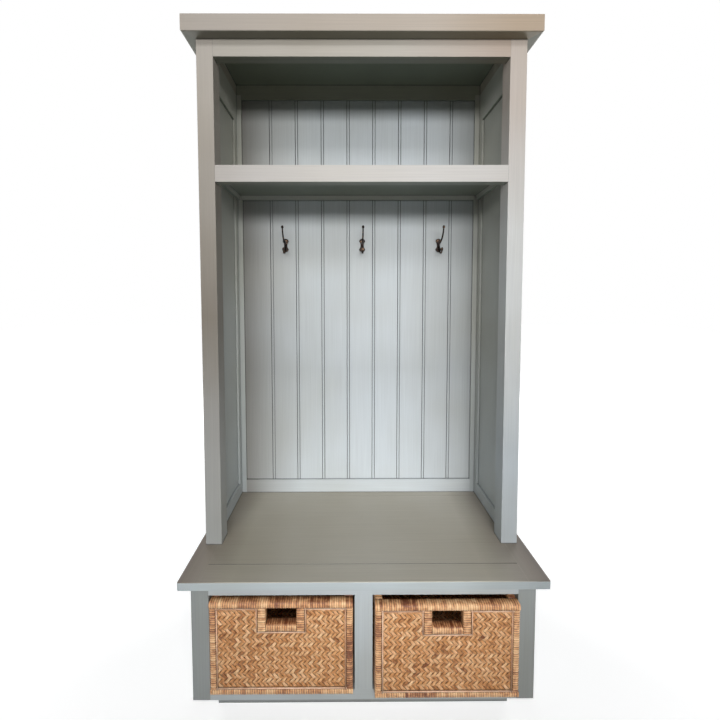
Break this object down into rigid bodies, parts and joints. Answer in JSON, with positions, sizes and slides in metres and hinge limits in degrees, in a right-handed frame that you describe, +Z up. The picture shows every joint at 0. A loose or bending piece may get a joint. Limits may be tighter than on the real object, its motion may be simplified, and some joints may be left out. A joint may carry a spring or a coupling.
{
  "type": "hall tree",
  "caption": "Painted hall tree: panelled hutch with shelf and coat hooks on a bench whose cubbies hold pull-out woven baskets with hand holes.",
  "frame": {"origin": "on the floor, at the middle of the whole piece's box", "axes": "+X to the viewer's right, +Y from the front to the wall, +Z up"},
  "size_m": [1.0836, 0.455, 2.084],
  "materials": {
    "frame_paint": "satin sage-grey paint on solid wood",
    "seat_paint": "satin sage-grey paint, worn smooth",
    "bead_board_paint": "satin sage-grey paint on tongue-and-groove planks",
    "antique_bronze": "dark antique bronze",
    "rattan_weave": "herringbone-woven rattan core, natural honey",
    "rattan_wrap": "rattan peel wrapped side by side, natural honey"
  },
  "bodies": {
    "cabinet": {"plinth_front": "frame_paint", "plinth_left": "frame_paint", "plinth_right": "frame_paint", "cubby_floor": "frame_paint", "box_side_left": "frame_paint", "box_side_right": "frame_paint", "box_divider": "frame_paint", "box_back": "frame_paint", "box_stile_left": "frame_paint", "box_stile_right": "frame_paint", "box_top_rail": "frame_paint", "box_bottom_rail": "frame_paint", "box_mullion": "frame_paint", "seat_end_left": "seat_paint", "seat_end_right": "seat_paint", "seat_front": "seat_paint", "seat_panel": "seat_paint", "seat_back": "seat_paint", "front_post_left": "frame_paint", "front_post_right": "frame_paint", "rear_post_left": "frame_paint", "rear_post_right": "frame_paint", "side_top_rail_left": "frame_paint", "side_bottom_rail_left": "frame_paint", "side_panel_left": "frame_paint", "shelf_cleat_left": "frame_paint", "side_top_rail_right": "frame_paint", "side_bottom_rail_right": "frame_paint", "side_panel_right": "frame_paint", "shelf_cleat_right": "frame_paint", "front_top_rail": "frame_paint", "front_shelf_rail": "frame_paint", "shelf": "frame_paint", "shelf_cleat_back": "frame_paint", "back_bottom_rail": "frame_paint", "back_top_rail": "frame_paint", "crown_front": "frame_paint", "crown_left": "frame_paint", "crown_right": "frame_paint", "roof_panel": "frame_paint", "back_plank_1": "bead_board_paint", "back_plank_2": "bead_board_paint", "back_plank_3": "bead_board_paint", "back_plank_4": "bead_board_paint", "back_plank_5": "bead_board_paint", "back_plank_6": "bead_board_paint", "back_plank_7": "bead_board_paint", "back_plank_8": "bead_board_paint", "back_plank_9": "bead_board_paint", "coat_hook_left": "antique_bronze", "coat_hook_middle": "antique_bronze", "coat_hook_right": "antique_bronze", "hook_screws": "antique_bronze"},
    "left_basket": {"basket_shell_left": "rattan_weave", "basket_edging_left": "rattan_wrap", "basket_rim_left": "rattan_wrap"},
    "right_basket": {"basket_shell_right": "rattan_weave", "basket_edging_right": "rattan_wrap", "basket_rim_right": "rattan_wrap"}
  },
  "joints": [
    {"name": "left_basket_slide", "type": "slide", "parent": "cabinet", "child": "left_basket", "axis": [0, -1, 0], "range_m": [-0.036, 0.38]},
    {"name": "right_basket_slide", "type": "slide", "parent": "cabinet", "child": "right_basket", "axis": [0, -1, 0], "range_m": [-0.046, 0.37]}
  ]
}
